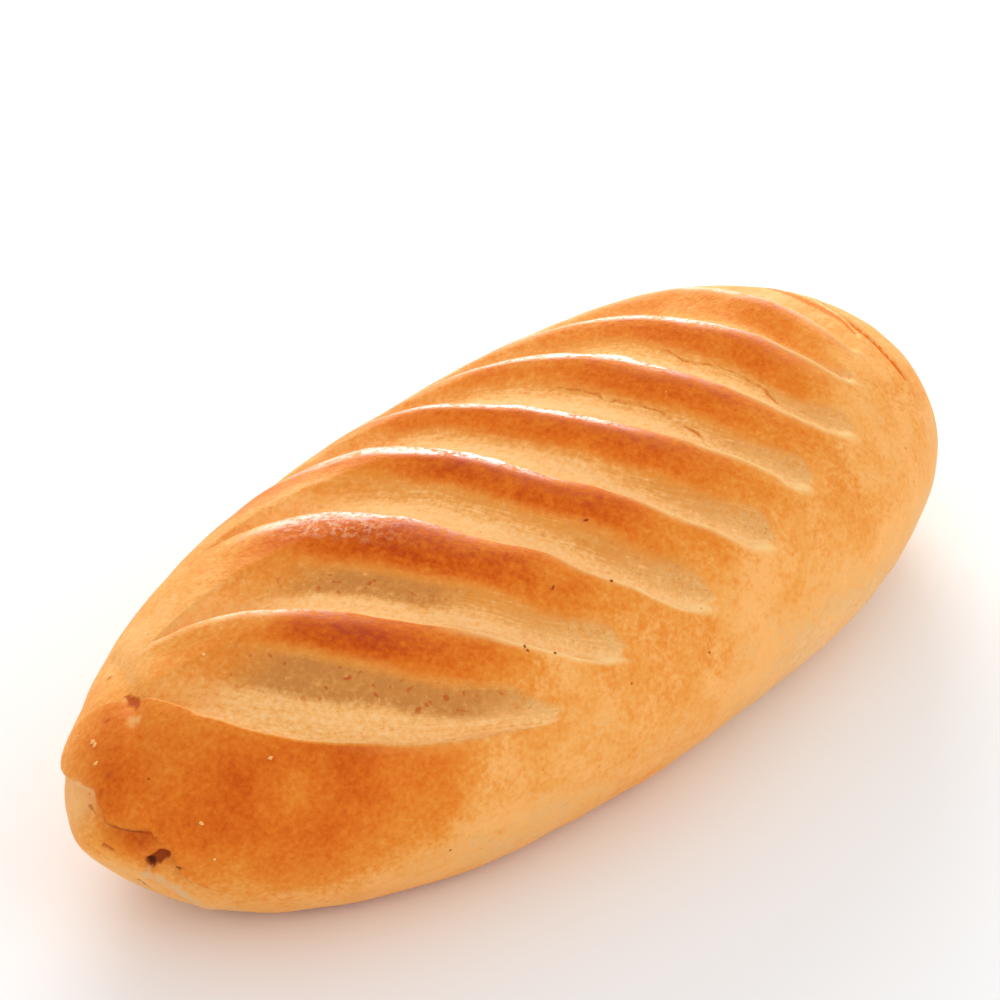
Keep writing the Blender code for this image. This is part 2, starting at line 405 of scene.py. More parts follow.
# %% [markdown]
# ## Wandering lips
#
# No lip keeps to the line that the blade took. Some bulge, their near tips bend back, and
# waves of two sizes from the random field run along all of them. The wall is tucked back
# under its lip as well. Points that move along the loaf do both, as each lip is a ring.

# %% Tucked walls and wandering lips
EAR_REACH = 1.2 * MM
EAR_LENGTH = 3.4 * MM
BULGES = (2.6, 3.2, 2.8, 2.0, 0.5, 0.0, 0.0, 0.0, 0.0)
BULGE_Y = -33 * MM
BULGE_SPREAD = 13 * MM
TIP_BENDS = (0.0, -3.0, -3.4, -3.0, -1.2, 0.0, 0.0, 0.0, 0.0)
TIP_BEND_START = -48 * MM
TIP_BEND_END = -60 * MM
WAVE_HEIGHT = 1.5 * MM
WAVE_SIZE = 21 * MM
WAVE_START = (0.3, 4.1, 2.2)
RIPPLE_HEIGHT = 0.45 * MM
RIPPLE_SIZE = 5.5 * MM
RIPPLE_START = (5.3, 0.7, 8.2)


def ear_shift(opening):
    """How far the wall is tucked back under the lip."""
    strength = opening.depth / CUTS[2].depth
    arch = np.sin(math.pi * np.clip(opening.behind / EAR_LENGTH, 0.0, 1.0))
    return np.where(opening.inside, EAR_REACH * strength * arch, 0.0)


def lip_wave(net, place):
    """How far the lips stray towards the plain end from the line the blade took."""
    bulge = np.interp(place, CUT_PLACES, BULGES) * MM
    stray = bulge * np.exp(-((net[..., 1] - BULGE_Y) / BULGE_SPREAD) ** 2)
    bend = np.interp(place, CUT_PLACES, TIP_BENDS) * MM
    stray = stray + bend * (1.0 - blend(net[..., 1], TIP_BEND_END, TIP_BEND_START))
    stray = stray + WAVE_HEIGHT * field(net, WAVE_SIZE, WAVE_START)
    return stray + RIPPLE_HEIGHT * field(net, RIPPLE_SIZE, RIPPLE_START)


shift = (ear_shift(opening) - lip_wave(body, place)) * on_crown
print("lips stray by up to", round(float(np.abs(shift).max()), 4))

# %% [markdown]
# ## The folded end
#
# The dough was folded under at one end. Its browned flap ends in a torn edge, and a paler
# lobe is tucked in below. Seen from that end the edge is a line, with a height for each place
# across the loaf, and a step in the relief below that line gives the tuck.

# %% The torn seam
SEAM_EDGE = np.array((
    (-0.0260, 0.0240), (-0.0190, 0.0290), (-0.0166, 0.0335), (-0.0153, 0.0400), (-0.0128, 0.0420),
    (-0.0103, 0.0437), (-0.0030, 0.0428), (0.0010, 0.0438), (0.0030, 0.0458), (0.0080, 0.0477),
    (0.0160, 0.0460), (0.0250, 0.0420), (0.0380, 0.0390),
))
SEAM_NEAR, SEAM_FAR = SEAM_EDGE[0, 0], SEAM_EDGE[-1, 0]
SEAM_SOFT = 0.010
SEAM_JAG = 0.0006
SEAM_JAG_SIZE = 0.0035
SEAM_JAG_START = (1.2, 6.6, 3.3)
SEAM_DEPTH = 0.0042
SEAM_STEP = 0.0009
SEAM_FADE = 0.0090
SEAM_LIP = 0.0010
SEAM_LIP_FADE = 0.0060
NOSE_REACH = -0.110
SHALLOWER = 0.45
SHALLOW_PART = (0.004, 0.020)


def seam_height(net):
    """How far every point lies below the crust's lower edge at the folded end."""
    line = np.interp(net[..., 1], SEAM_EDGE[:, 0], SEAM_EDGE[:, 1])
    jag = SEAM_JAG * field(net, SEAM_JAG_SIZE, SEAM_JAG_START)
    return line + jag - net[..., 2]


def seam_reach(net):
    """Where the seam is open, from 0 to 1."""
    y = net[..., 1]
    reach = blend(y, SEAM_NEAR, SEAM_NEAR + SEAM_SOFT)
    reach = reach * (1.0 - blend(y, SEAM_FAR - SEAM_SOFT, SEAM_FAR))
    return reach * (net[..., 0] <= NOSE_REACH)


def seam_relief(below, reach):
    """The crust's edge at the folded end and the dough tucked in below it."""
    over = -SEAM_LIP * np.exp(np.minimum(below, 0.0) / SEAM_LIP_FADE)
    tuck = (SEAM_DEPTH + SEAM_LIP) * blend(below, 0.0, SEAM_STEP) - SEAM_LIP
    under = tuck * np.exp(-np.maximum(below, 0.0) / SEAM_FADE)
    return reach * np.where(below < 0, over, under)


below_seam = seam_height(body)
reach = seam_reach(body)
shallow = 1.0 - SHALLOWER * blend(body[..., 1], *SHALLOW_PART)
relief = relief + seam_relief(below_seam, reach) * shallow
print("points on the open seam:", int((reach > 0).sum()))

# %% [markdown]
# ## Lines drawn in the crust
#
# A crease runs up round the flap, and a hole, a crack, a slit and a flake mark its torn edge.
# A shallow groove crosses the plain end. Each is a path of a few points on the skin with a
# width and a depth, and its relief fades with the distance from the path.

# %% Creases, cracks and flakes
Line = namedtuple("Line", "path width depth")
CREASE = Line(
    ((-0.113, 0.038, 0.053), (-0.123, 0.017, 0.060), (-0.135, 0.001, 0.055), (-0.142, -0.012, 0.044)),
    0.0030, 0.0012,
)
HOLE = Line(((-0.1436, -0.0132, 0.0350), (-0.1450, -0.0096, 0.0313)), 0.0022, 0.0028)
CRACK = Line(((-0.1429, -0.0145, 0.0354), (-0.1408, -0.0178, 0.0343)), 0.0008, 0.0010)
LOBE_SLIT = Line(((-0.1497, 0.0023, 0.0349), (-0.1492, 0.0000, 0.0333)), 0.0006, 0.0006)
FLAKE = Line(
    (
        (-0.1450, -0.0076, 0.0272), (-0.1434, -0.0109, 0.0268), (-0.1398, -0.0139, 0.0232),
        (-0.1355, -0.0155, 0.0182), (-0.1308, -0.0165, 0.0136),
    ),
    0.0024, -0.0009,
)
UNDER_FLAKE = Line(
    (
        (-0.1431, -0.0027, 0.0202), (-0.1390, -0.0028, 0.0152), (-0.1346, -0.0075, 0.0125),
        (-0.1312, -0.0091, 0.0100),
    ),
    0.0009, 0.0010,
)
TORN_RIM = Line(
    (
        (-0.1160, 0.0040, 0.0644), (-0.1208, 0.0130, 0.0616), (-0.1222, 0.0186, 0.0596),
        (-0.1210, 0.0228, 0.0587), (-0.1187, 0.0320, 0.0547), (-0.1128, 0.0392, 0.0517),
    ),
    0.0011, -0.0002,
)
LAST_CUT_LINE = Line(
    (
        (0.1263, -0.0149, 0.0642), (0.1262, -0.0218, 0.0622), (0.1264, -0.0272, 0.0599),
        (0.1262, -0.0350, 0.0560),
    ),
    0.0011, 0.0013,
)


def along_path(net, path):
    """Distance from every point to a line of straight stretches."""
    nearest = np.full(net.shape[:-1], 1.0)
    for start, end in zip(np.array(path), np.array(path[1:])):
        line = end - start
        share = np.clip((net - start) @ line / (line @ line), 0.0, 1.0)
        gap = np.linalg.norm(net - start - share[..., None] * line, axis=-1)
        nearest = np.minimum(nearest, gap)
    return nearest


for line in (CREASE, HOLE, CRACK, LOBE_SLIT, FLAKE, UNDER_FLAKE, TORN_RIM, LAST_CUT_LINE):
    relief = relief + line.depth * np.exp(-(along_path(body, line.path) / line.width) ** 2)
print("deepest place:", round(float(relief.max()), 4))

# %% [markdown]
# ## Soft hollows and swellings
#
# Round the fold, and here and there on the sides, the crust sank or swelled a little. A round
# spot that fades from its centre does for each, and a depth below zero makes a swelling.

# %% Hollows and swellings
Hollow = namedtuple("Hollow", "centre radius depth")
HOLLOWS = (
    Hollow((-0.126, 0.041, 0.046), 0.019, 0.0015),
    Hollow((-0.141, -0.010, 0.021), 0.021, 0.0012),
    Hollow((-0.1435, -0.006, 0.0235), 0.010, 0.0010),
    Hollow((-0.149, 0.010, 0.032), 0.008, -0.0018),
    Hollow((-0.060, 0.047, 0.063), 0.024, -0.0016),
    Hollow((-0.036, -0.066, 0.019), 0.030, 0.0016),
    Hollow((-0.147, -0.005, 0.038), 0.006, 0.0018),
    Hollow((-0.124, 0.0165, 0.0595), 0.0034, 0.0006),
    Hollow((-0.1485, 0.0095, 0.0415), 0.0020, 0.0010),
)


def dimple(net, centre, radius):
    """A soft round spot, 1 at its centre."""
    return np.exp(-(np.linalg.norm(net - np.array(centre), axis=-1) / radius) ** 2)


for hollow in HOLLOWS:
    relief = relief + hollow.depth * dimple(body, hollow.centre, hollow.radius)
skin = body - (relief - swell)[..., None] * outward - shift[..., None] * onward
print("hollows:", len(HOLLOWS), "net with its relief:", skin.min((0, 1)).round(4), skin.max((0, 1)).round(4))

# %% [markdown]
# ## The flat underside
#
# The loaf sat on a tray. Cutting the body with a plane would leave a knife edge all round;
# dough that sags on a tray is round there. A curve that follows the body above the tray and
# levels off at it gives that soft edge.

# %% Rest the loaf on its underside
EDGE_ROUND = 2.2 * MM


def settle(net):
    """Let the body sag flat on the plane z = 0, with a round edge."""
    z = net[..., 2]
    level = (z + np.sqrt(z ** 2 + EDGE_ROUND ** 2)) / 2
    return np.concatenate([net[..., :2], level[..., None]], axis=-1)


skin = settle(skin)
middle = (skin.min((0, 1)) + skin.max((0, 1))) / 2
middle[2] = 0.0
print("skin box:", (skin.min((0, 1)) - middle).round(4), (skin.max((0, 1)) - middle).round(4))

# %% [markdown]
# ## From net to mesh
#
# The ball comes from Blender's UV sphere, which has exactly one point for each place of the
# net: its rings are the net's rings and its segments the points round them. So the sphere is
# made once and every point is put where the net says.

# %% Make the loaf's mesh
def as_mesh(shape, name):
    """A new mesh from a bmesh."""
    mesh = bpy.data.meshes.new(name)
    shape.to_mesh(mesh)
    shape.free()
    return mesh


def add_object(name, data):
    """A new object in the scene, at the origin."""
    made = bpy.data.objects.new(name, data)
    bpy.context.scene.collection.objects.link(made)
    return made


def ball(rings, points):
    """A UV sphere's mesh, with the ring and the place on the ring of each of its points."""
    shape = bmesh.new()
    bmesh.ops.create_uvsphere(shape, u_segments=points, v_segments=rings - 1, radius=1.0)
    mesh = as_mesh(shape, "loaf_skin")
    where = np.zeros(len(mesh.vertices) * 3)
    mesh.vertices.foreach_get("co", where)
    where = where.reshape(-1, 3)
    latitude = np.arcsin(np.clip(-where[:, 2], -1.0, 1.0)) / math.pi + 0.5
    turn = np.arctan2(where[:, 0], where[:, 1]) / (2 * math.pi)
    ring = np.rint(latitude * (rings - 1)).astype(int)
    point = np.rint(turn * points).astype(int) % points
    return mesh, ring, point


mesh, ring, point = ball(len(place), angle.size)
mesh.vertices.foreach_set("co", (skin - middle)[ring, point].ravel())
mesh.update()
mesh.shade_smooth()
loaf = add_object("loaf_skin", mesh)
print("faces:", len(mesh.polygons), "triangles:", sum(len(face.vertices) - 2 for face in mesh.polygons))

# %% [markdown]
# ## What the oven did, point by point
#
# Colour on bread follows its shape: ridges and the folded end brown first, dough that tore
# open late stays cream, and the sides lie between. So colour starts on the net, where each
# point knows its cut. One table holds what differs from gap to gap between the cuts: where,
# as a share of the gap, the dough turns tan and the ridge starts, and how far both reach.

# %% The gaps between the cuts
Gap = namedtuple("Gap", "pale open dusk dusk_near dusk_far start near_y far_y strength gloss")
GAPS = (
    Gap(0.30, 0.00, 1.00, -0.052, 0.004, 0.70, -0.049, -0.002, 1.00, 0.55),
    Gap(0.27, 0.00, 0.90, -0.024, 0.024, 0.61, -0.050, 0.026, 0.92, 0.62),
    Gap(0.28, 0.14, 0.15, -0.060, -0.030, 0.65, -0.055, 0.056, 0.80, 1.00),
    Gap(0.26, 0.22, 0.12, -0.058, -0.030, 0.61, -0.053, 0.058, 0.68, 1.00),
    Gap(0.24, 0.20, 0.10, -0.054, -0.030, 0.60, -0.050, 0.056, 0.64, 1.00),
    Gap(0.22, 0.16, 0.10, -0.046, -0.020, 0.60, -0.036, 0.054, 0.60, 1.00),
    Gap(0.26, 0.10, 0.10, -0.034, -0.010, 0.52, -0.026, 0.040, 0.46, 1.00),
    Gap(0.70, 0.00, 0.00, -0.030, 0.000, 0.95, -0.016, 0.030, 0.00, 0.00),
    Gap(0.20, 0.00, 0.00, -0.030, 0.000, 0.50, -0.020, 0.030, 0.00, 0.00),
)


def of_gap(name):
    """One number of the gap that each ring lies in."""
    return np.array([getattr(gap, name) for gap in GAPS])[np.clip(behind_cut, 0, LAST_CUT)]


def between(value, start, end, soft):
    """1 between start and end, with soft ends."""
    rise = blend(value, start - soft / 2, start + soft / 2)
    return rise * (1.0 - blend(value, end - soft / 2, end + soft / 2))


here = Gap(*map(of_gap, Gap._fields))
x, y, z = np.moveaxis(body, -1, 0)
along_gap = np.broadcast_to(opening.behind / opening.gap, y.shape)
print("gaps:", len(GAPS), "rings:", here.start.size)

# %% Browned ridges
LATER, LATER_PART = 0.06, (0.004, 0.030)
EARLIER, NEAR_PART = 0.08, (0.003, 0.028)
RIDGE_RISE = (-0.10, 0.08)
LIP_FADE, LIP_PART = 0.35, (0.84, 0.98)
NEAR_FADE = 0.62
FAR_FADE, FAR_PART = 0.42, (0.000, 0.034)
RIDGE_SOFT = 15 * MM

present = between(y, here.near_y, here.far_y, RIDGE_SOFT)
near_part = 1.0 - blend(y, here.near_y + NEAR_PART[0], here.near_y + NEAR_PART[1])
start = here.start + LATER * blend(y, *LATER_PART) - EARLIER * near_part
band = blend(along_gap, start + RIDGE_RISE[0], start + RIDGE_RISE[1])
band = band * (1.0 - LIP_FADE * blend(along_gap, *LIP_PART))
strength = here.strength * (1.0 - NEAR_FADE * near_part) * (1.0 - FAR_FADE * blend(y, *FAR_PART))
ridge = np.where(opening.inside, band * present * strength, 0.0) * on_crown
print("strongest ridge:", round(float(ridge.max()), 2))

# %% [markdown]
# ## Sheen of the crests
#
# Only the thin crest of a ridge is glassy. There the starch swelled in the steam and dried to
# a clear skin, so it mirrors a bright window as a white line, while the near slope only
# blushes. The sheen starts earlier on the far side, where a crest is broader.

# %% How glossy each crest is
BLUSH, BLUSH_PART = 0.34, (0.72, 0.84)
SHEEN, SHEEN_START, SHEEN_RISE = 0.90, 0.86, 0.09
BROADER, BROADER_PART = 0.05, (-0.002, 0.020)
SHEEN_PART = (-0.028, -0.006)
GLOSS_PART = (-0.046, -0.016)
GLOSS_REACH, GLOSS_SOFT = 0.028, 8 * MM
GLOSS_NOSE = (-0.122, -0.110)

broader = blend(y, *BROADER_PART)
blush = BLUSH * blend(along_gap, *BLUSH_PART) * (1.0 - broader)
sheen_start = SHEEN_START - BROADER * broader
sheen = SHEEN * blend(along_gap, sheen_start, sheen_start + SHEEN_RISE) * blend(y, *SHEEN_PART)
gloss_end = np.maximum(here.far_y, GLOSS_REACH)
gloss = (blush + sheen) * blend(y, *GLOSS_PART) * (1.0 - blend(y, gloss_end, gloss_end + GLOSS_SOFT))
gloss = np.where(opening.inside, gloss, 0.0) * on_crown * here.gloss * blend(x, *GLOSS_NOSE)
print("glossiest crest:", round(float(gloss.max()), 2))

# %% [markdown]
# ## Fresh dough in the openings
#
# The dough behind a lip was inside the loaf until late. It is cream on the wall and tans over
# the floor towards the next ridge. Behind the first two lips the floor lies in a greyish dusk,
# and the near tip of every opening dried to a dull tan.

# %% Cream, tan and dusk of the dough
TIP_PALE, TIP_PART = 0.20, (4 * MM, 26 * MM)
OPEN_PART = (-0.045, -0.008)
TAN_LEAD, TAN_LENGTH = 0.10, 0.32
FLOOR_TAN = (0.24, 0.12, 0.06)
LIP_EDGE = 0.02 * MM
WALL_GAIN = 8.0
DOUGH_FALL = (-0.12, 0.02)
OPENING_FALL = (0.9, 1.1)
CLOSED, CLOSED_PART = 0.8, (-26 * MM, -4 * MM)
DUSK_AFTER, DUSK_BEFORE, DUSK_SOFT = 0.03, 0.08, 0.09
DUSK_SIDE_SOFT = 12 * MM
DULL_PART, DULL_SOFT = (0.20, 0.46), 0.16

in_tip = blend(opening.tip, *TIP_PART)
tan_start = TIP_PALE + (here.pale - TIP_PALE) * in_tip + here.open * blend(y, *OPEN_PART)
valley = np.clip((along_gap - tan_start + TAN_LEAD) / TAN_LENGTH, 0.0, 1.0)
valley = np.maximum(valley, np.interp(place, CUT_PLACES[:3], FLOOR_TAN))
opened = np.minimum(opening.wall * WALL_GAIN, 1.0)
opened = opened * (1.0 - blend(along_gap, start + DOUGH_FALL[0], start + DOUGH_FALL[1]))
opened = opened * (1.0 - blend(opening.share, *OPENING_FALL))
opened = np.where(opening.inside & (opening.behind > LIP_EDGE), opened, 0.0) * on_crown
far_end = of_cut("far_end", behind_cut)
opened = opened * (1.0 - CLOSED * blend(y, far_end + CLOSED_PART[0], far_end + CLOSED_PART[1]))
opened = np.where(behind_cut == LAST_CUT - 1, 0.0, opened)
dusk = between(along_gap, tan_start + DUSK_AFTER, start - DUSK_BEFORE, DUSK_SOFT)
dusk = dusk * between(y, here.dusk_near, here.dusk_far, DUSK_SIDE_SOFT) * here.dusk * opened
tip_tan = opened * (1.0 - in_tip) * between(along_gap, *DULL_PART, DULL_SOFT)
print("share of open dough:", round(float((opened > 0.5).mean()), 3))

# %% [markdown]
# ## Edges of the flap
#
# Along the folded flap the crust ends in a thin, paler edge with a painted shadow line under
# it, and the lobe that is tucked in below stays pale. The pale rims of the lips are partly
# dried dough and partly a painted highlight; beside the first cuts they are thin and get
# little of it. One ridge there has a blister whose flaking skin is tinted pink, partly as a
# painted sheen.

# %% Rims, seam and blister
RIM_FADE, RIM_PART = 0.5, (0.06, 0.12)
RIM_NOSE = (-0.112, -0.098)
FIRST_RIM, FIRST_RIM_REACH = 0.10, 14 * MM
SHADE_BELOW, SHADE_WIDTH = 0.0004, 0.0009
SHADE_PART, SHADE_SOFT = (-0.0100, 0.0020), 3 * MM
CRUST_EDGE = 0.0012
LOBE_START, LOBE_FADE = 0.0008, 0.022
FOLD_CENTRE, FOLD_RADIUS = (-0.1468, -0.0060, 0.0385), 0.0075
TORN, TORN_FADE, TORN_PART = 0.75, 0.0030, (0.006, 0.012)
TORN_CENTRE, TORN_RADIUS, TORN_MORE = (-0.1475, 0.0150, 0.0390), 0.006, 0.35
BLISTER_CENTRE, BLISTER_RADIUS, BLISTER_PART = (-0.058, 0.012, 0.077), 0.015, (0.70, 0.80)

# The pale rims: partly cream dough dried at the tear, partly a painted highlight on the lip.
rim = opening.rim * on_crown * (1.0 - RIM_FADE * blend(place, *RIM_PART)) * blend(x, *RIM_NOSE)
rim = rim * np.where(np.abs(place - CUT_PLACES[0]) < FIRST_RIM_REACH, FIRST_RIM, 1.0)
below = np.maximum(below_seam, 0.0)
# A painted shadow: a dark band just below the torn edge of the flap, where it overhangs.
under_edge = np.exp(-((below_seam - SHADE_BELOW) / SHADE_WIDTH) ** 2)
under_edge = np.clip(under_edge * between(y, *SHADE_PART, SHADE_SOFT) * reach, 0.0, 1.0)
over_seam = np.exp(-(np.minimum(below_seam, 0.0) / CRUST_EDGE) ** 2) * (below_seam < SHADE_BELOW)
under_seam = blend(below_seam, 0.0, LOBE_START) * np.exp(-below / LOBE_FADE)
in_fold = dimple(body, FOLD_CENTRE, FOLD_RADIUS) * (below_seam > 0.0)
torn = TORN * blend(below_seam, -SHADE_BELOW, SHADE_BELOW) * np.exp(-below / TORN_FADE)
torn = torn * reach * blend(y, *TORN_PART)
torn = np.clip(torn + TORN_MORE * dimple(body, TORN_CENTRE, TORN_RADIUS), 0.0, 1.0)
# The blister's flaking skin, tinted pink: partly its own colour, partly a painted sheen.
blister = dimple(body, BLISTER_CENTRE, BLISTER_RADIUS) * blend(along_gap, *BLISTER_PART)
blister = np.where(behind_cut == 1, blister, 0.0)
print("blister reaches", round(float(blister.max()), 2))

# %% [markdown]
# ## How browned the skin is
#
# Everything now adds up to one number, from pale to chestnut: the side of the loaf as a
# base, more on the ridges and on the cap of the folded end, less low down where the tray
# kept the heat off, and a few blotches where the oven caught or spared the crust.

# %% Browning of the crust
SIDE_BAKE = 0.395
RIDGE_BAKE = 0.52
NOSE_BAKE = 0.38
BASE_BAKE, BASE_EDGE = 0.30, 4 * MM
SLOPE_BAKE, SLOPE_LENGTH, SLOPE_SOFT = 0.12, 0.24, 0.12
LOW_PART = (16 * MM, 52 * MM)
LOW_PALE, TAIL_PALE, TAIL_PART = 0.14, 0.16, (-0.02, 0.04)
LOBE_PALE = 0.85
EDGE_PALE = 0.06
FOLD_BAKE = 0.34
Blotch = namedtuple("Blotch", "centre radius amount")
NOSE_BLOTCHES = (
    Blotch((-0.125, -0.030, 0.052), 0.034, 1.00), Blotch((-0.098, -0.048, 0.050), 0.024, 0.44),
    Blotch((-0.141, 0.012, 0.050), 0.017, 0.62),
)
BLOTCHES = (
    Blotch((-0.0980, 0.0020, 0.0680), 0.010, 0.16), Blotch((-0.1050, 0.0120, 0.0660), 0.014, 0.08),
    Blotch((-0.1080, 0.0300, 0.0600), 0.014, -0.10), Blotch((-0.1255, -0.0177, 0.0554), 0.009, 0.10),
    Blotch((-0.1348, -0.0168, 0.0488), 0.008, 0.07), Blotch((-0.1000, -0.0360, 0.0570), 0.008, 0.10),
    Blotch((-0.1139, -0.0314, 0.0532), 0.008, -0.12), Blotch((-0.1040, -0.0450, 0.0400), 0.016, -0.10),
    Blotch((-0.1395, 0.0032, 0.0522), 0.009, 0.05), Blotch((-0.0100, -0.0660, 0.0450), 0.030, 0.07),
    Blotch((0.1300, 0.0000, 0.0500), 0.024, -0.07),
)


def blotched(net, blotches):
    """Soft round blotches of browning, added up."""
    return sum(blotch.amount * dimple(net, blotch.centre, blotch.radius) for blotch in blotches)


cap = np.clip(blotched(body, NOSE_BLOTCHES), 0.0, 1.0) * (behind_cut < 0)
cap = cap * (1.0 - LOBE_PALE * under_seam * reach)
slope = between(along_gap, start - SLOPE_LENGTH, start, SLOPE_SOFT) * present * opening.inside
low = 1.0 - blend(z, *LOW_PART)
bake = SIDE_BAKE + RIDGE_BAKE * ridge + NOSE_BAKE * cap + SLOPE_BAKE * slope * on_crown
bake = bake - low * (LOW_PALE + TAIL_PALE * blend(x, *TAIL_PART))
bake = bake - EDGE_PALE * over_seam * reach + FOLD_BAKE * in_fold + blotched(body, BLOTCHES)
bake = bake + BASE_BAKE * (1.0 - blend(z, 0.0, BASE_EDGE))
print("browning from", round(float(bake.min()), 2), "to", round(float(bake.max()), 2))

# %% [markdown]
# ## Keeping the numbers on the mesh
#
# A finish can't run this code, but it can read numbers that are kept at the mesh's points.
# So each result gets a name there, with the points' places before the relief was added
# (marks stay where they were drawn) and a place that runs along the cuts (for strands).

# %% Keep the numbers on the mesh
KEPT = {
    "bake": bake, "ridge": ridge, "gloss": gloss, "opened": opened, "valley": valley, "dusk": dusk,
    "tip_tan": tip_tan, "rim": rim, "torn": torn, "under_edge": under_edge, "blister": blister,
    "unraised": body, "flow": np.stack([np.broadcast_to(place, y.shape), y, z], axis=-1),
}


def keep(mesh, name, values):
    """Store one number, or one direction, for every point of the mesh."""
    kind, slot = ("FLOAT_VECTOR", "vector") if values.ndim == 3 else ("FLOAT", "value")
    made = mesh.attributes.new(name, kind, "POINT")
    made.data.foreach_set(slot, np.ascontiguousarray(values[ring, point], np.float32).ravel())


for name, values in KEPT.items():
    keep(mesh, name, values)
print("kept:", list(KEPT))

# %% [markdown]
# ## A short way to write a finish
#
# A finish in Blender is a web of nodes. Written node by node it is long and hard to read, so
# one small class wraps a node's output and lets Python's own signs add the maths nodes.

# %% Shader kit
class Value:
    """A number or colour that varies over a surface."""

    def __init__(self, finish, socket):
        self.finish = finish
        self.socket = socket

    def join(self, operation, first, second):
        return self.finish.node("ShaderNodeMath", {"operation": operation}, {0: first, 1: second})

    def __add__(self, other):
        return self.join("ADD", self, other)

    def __radd__(self, other):
        return self.join("ADD", other, self)

    def __sub__(self, other):
        return self.join("SUBTRACT", self, other)

    def __rsub__(self, other):
        return self.join("SUBTRACT", other, self)

    def __mul__(self, other):
        return self.join("MULTIPLY", self, other)

    def __rmul__(self, other):
        return self.join("MULTIPLY", other, self)


class Finish:
    """A material and the nodes that paint it."""

    def __init__(self, name):
        self.material = bpy.data.materials.new(name)
        self.material.use_nodes = True
        self.tree = self.material.node_tree
        self.shader = self.tree.nodes["Principled BSDF"]

    def node(self, kind, settings=None, inputs=None, output=0):
        """Add a node: its settings first, then the values or links of its sockets."""
        made = self.tree.nodes.new(kind)
        for name, value in (settings or {}).items():
            if name == "stops":
                self.set_stops(made.color_ramp, value)
            else:
                setattr(made, name, value)
        for name, value in (inputs or {}).items():
            self.feed(made.inputs[name], value)
        return Value(self, made.outputs[output])

    def feed(self, socket, value):
        """Link a value to a socket, or set it there."""
        if isinstance(value, Value):
            self.tree.links.new(value.socket, socket)
        else:
            socket.default_value = value

    def set_stops(self, ramp, stops):
        """Give a colour ramp its stops."""
        while len(ramp.elements) < len(stops):
            ramp.elements.new(1.0)
        for element, (position, colour) in zip(ramp.elements, stops):
            element.position = position
            element.color = colour

    def surface(self, sockets):
        """Feed the shader's own sockets, by their names."""
        for name, value in sockets.items():
            self.feed(self.shader.inputs[name], value)

    def kept(self, name, output="Fac"):
        """A number that is kept on the mesh."""
        return self.node("ShaderNodeAttribute", {"attribute_name": name}, output=output)

    def place(self, scale, shift=(0.0, 0.0, 0.0), source=None):
        """Object coordinates, or another direction, scaled and shifted."""
        source = source or self.node("ShaderNodeTexCoord", output="Object")
        return self.node("ShaderNodeMapping", None, {"Vector": source, "Location": shift, "Scale": scale})

    def grain(self, size, detail=2.0, roughness=0.5, shift=(0.0, 0.0, 0.0), source=None):
        """Noise from 0 to 1 with grains of a size in metres, or of three sizes."""
        sizes = size if isinstance(size, tuple) else (size,) * 3
        where = self.place(tuple(1.0 / one for one in sizes), shift, source)
        inputs = {"Vector": where, "Scale": 1.0, "Detail": detail, "Roughness": roughness}
        return self.node("ShaderNodeTexNoise", None, inputs)

    def vector(self, operation, first, second, third=None, output=0):
        """Maths on directions."""
        inputs = {0: first, 1: second} if third is None else {0: first, 1: second, 2: third}
        return self.node("ShaderNodeVectorMath", {"operation": operation}, inputs, output=output)

    def strayed(self, where, size, amount):
        """Places moved a little by noise, so that what is drawn on them has ragged outlines."""
        inputs = {"Vector": self.place((1.0 / size,) * 3), "Scale": 1.0, "Detail": 2.0}
        noise = self.node("ShaderNodeTexNoise", None, inputs, output="Color")
        moved = self.vector("MULTIPLY_ADD", noise, (amount,) * 3, where)
        return self.vector("SUBTRACT", moved, (amount / 2,) * 3)

    def spot(self, where, centre, radius, edge=0.3):
        """A round spot; edge is the share of its radius that is soft."""
        gap = self.vector("DISTANCE", where, centre, output="Value")
        return self.band(gap, radius, radius * (1.0 - edge))

    def spots(self, where, centres, radius, edge):
        """Round spots of one size, added up."""
        made = self.spot(where, centres[0], radius, edge)
        for centre in centres[1:]:
            made = made + self.spot(where, centre, radius, edge)
        return made

    def stroke(self, where, line, spread=1.0, edge=0.4):
        """A band along a line of straight stretches."""
        nearest = None
        for start, end in zip(line.path, line.path[1:]):
            start, stretch = Vector(start), Vector(end) - Vector(start)
            offset = self.vector("SUBTRACT", where, start)
            share = self.vector("DOT_PRODUCT", offset, stretch / stretch.length_squared, output="Value")
            share = self.node("ShaderNodeClamp", None, {0: share})
            foot = self.vector("MULTIPLY_ADD", share, stretch, start)
            gap = self.vector("DISTANCE", where, foot, output="Value")
            nearest = gap if nearest is None else nearest.join("MINIMUM", nearest, gap)
        width = line.width * spread
        return self.band(nearest, width, width * (1.0 - edge))

    def dots(self, cell, radius, share, core=0.6, soft=0.02):
        """Scattered dots of a radius: 1 in the core of a share of the cells, 0 elsewhere."""
        where = self.place((1.0 / cell,) * 3)
        near = self.node("ShaderNodeTexVoronoi", None, {"Vector": where, "Scale": 1.0}, output="Distance")
        kind = self.node("ShaderNodeTexVoronoi", None, {"Vector": where, "Scale": 1.0}, output="Color")
        chosen = self.band(kind, share, share - soft)
        return self.band(near, radius / cell, core * radius / cell) * chosen

    def band(self, value, low, high, start=0.0, end=1.0):
        """Read a value between low and high as one from start to end, rising smoothly."""
        settings = {"interpolation_type": "SMOOTHSTEP", "clamp": True}
        inputs = {0: value, 1: low, 2: high, 3: start, 4: end}
        return self.node("ShaderNodeMapRange", settings, inputs)

    def mix(self, factor, first, second, kind="MIX"):
        """Mix two colours."""
        settings = {"data_type": "RGBA", "blend_type": kind, "clamp_factor": True}
        return self.node("ShaderNodeMix", settings, {0: factor, 6: first, 7: second}, output=2)

    def ramp(self, value, stops):
        """Read a value as a colour."""
        return self.node("ShaderNodeValToRGB", {"stops": stops}, {"Fac": value})


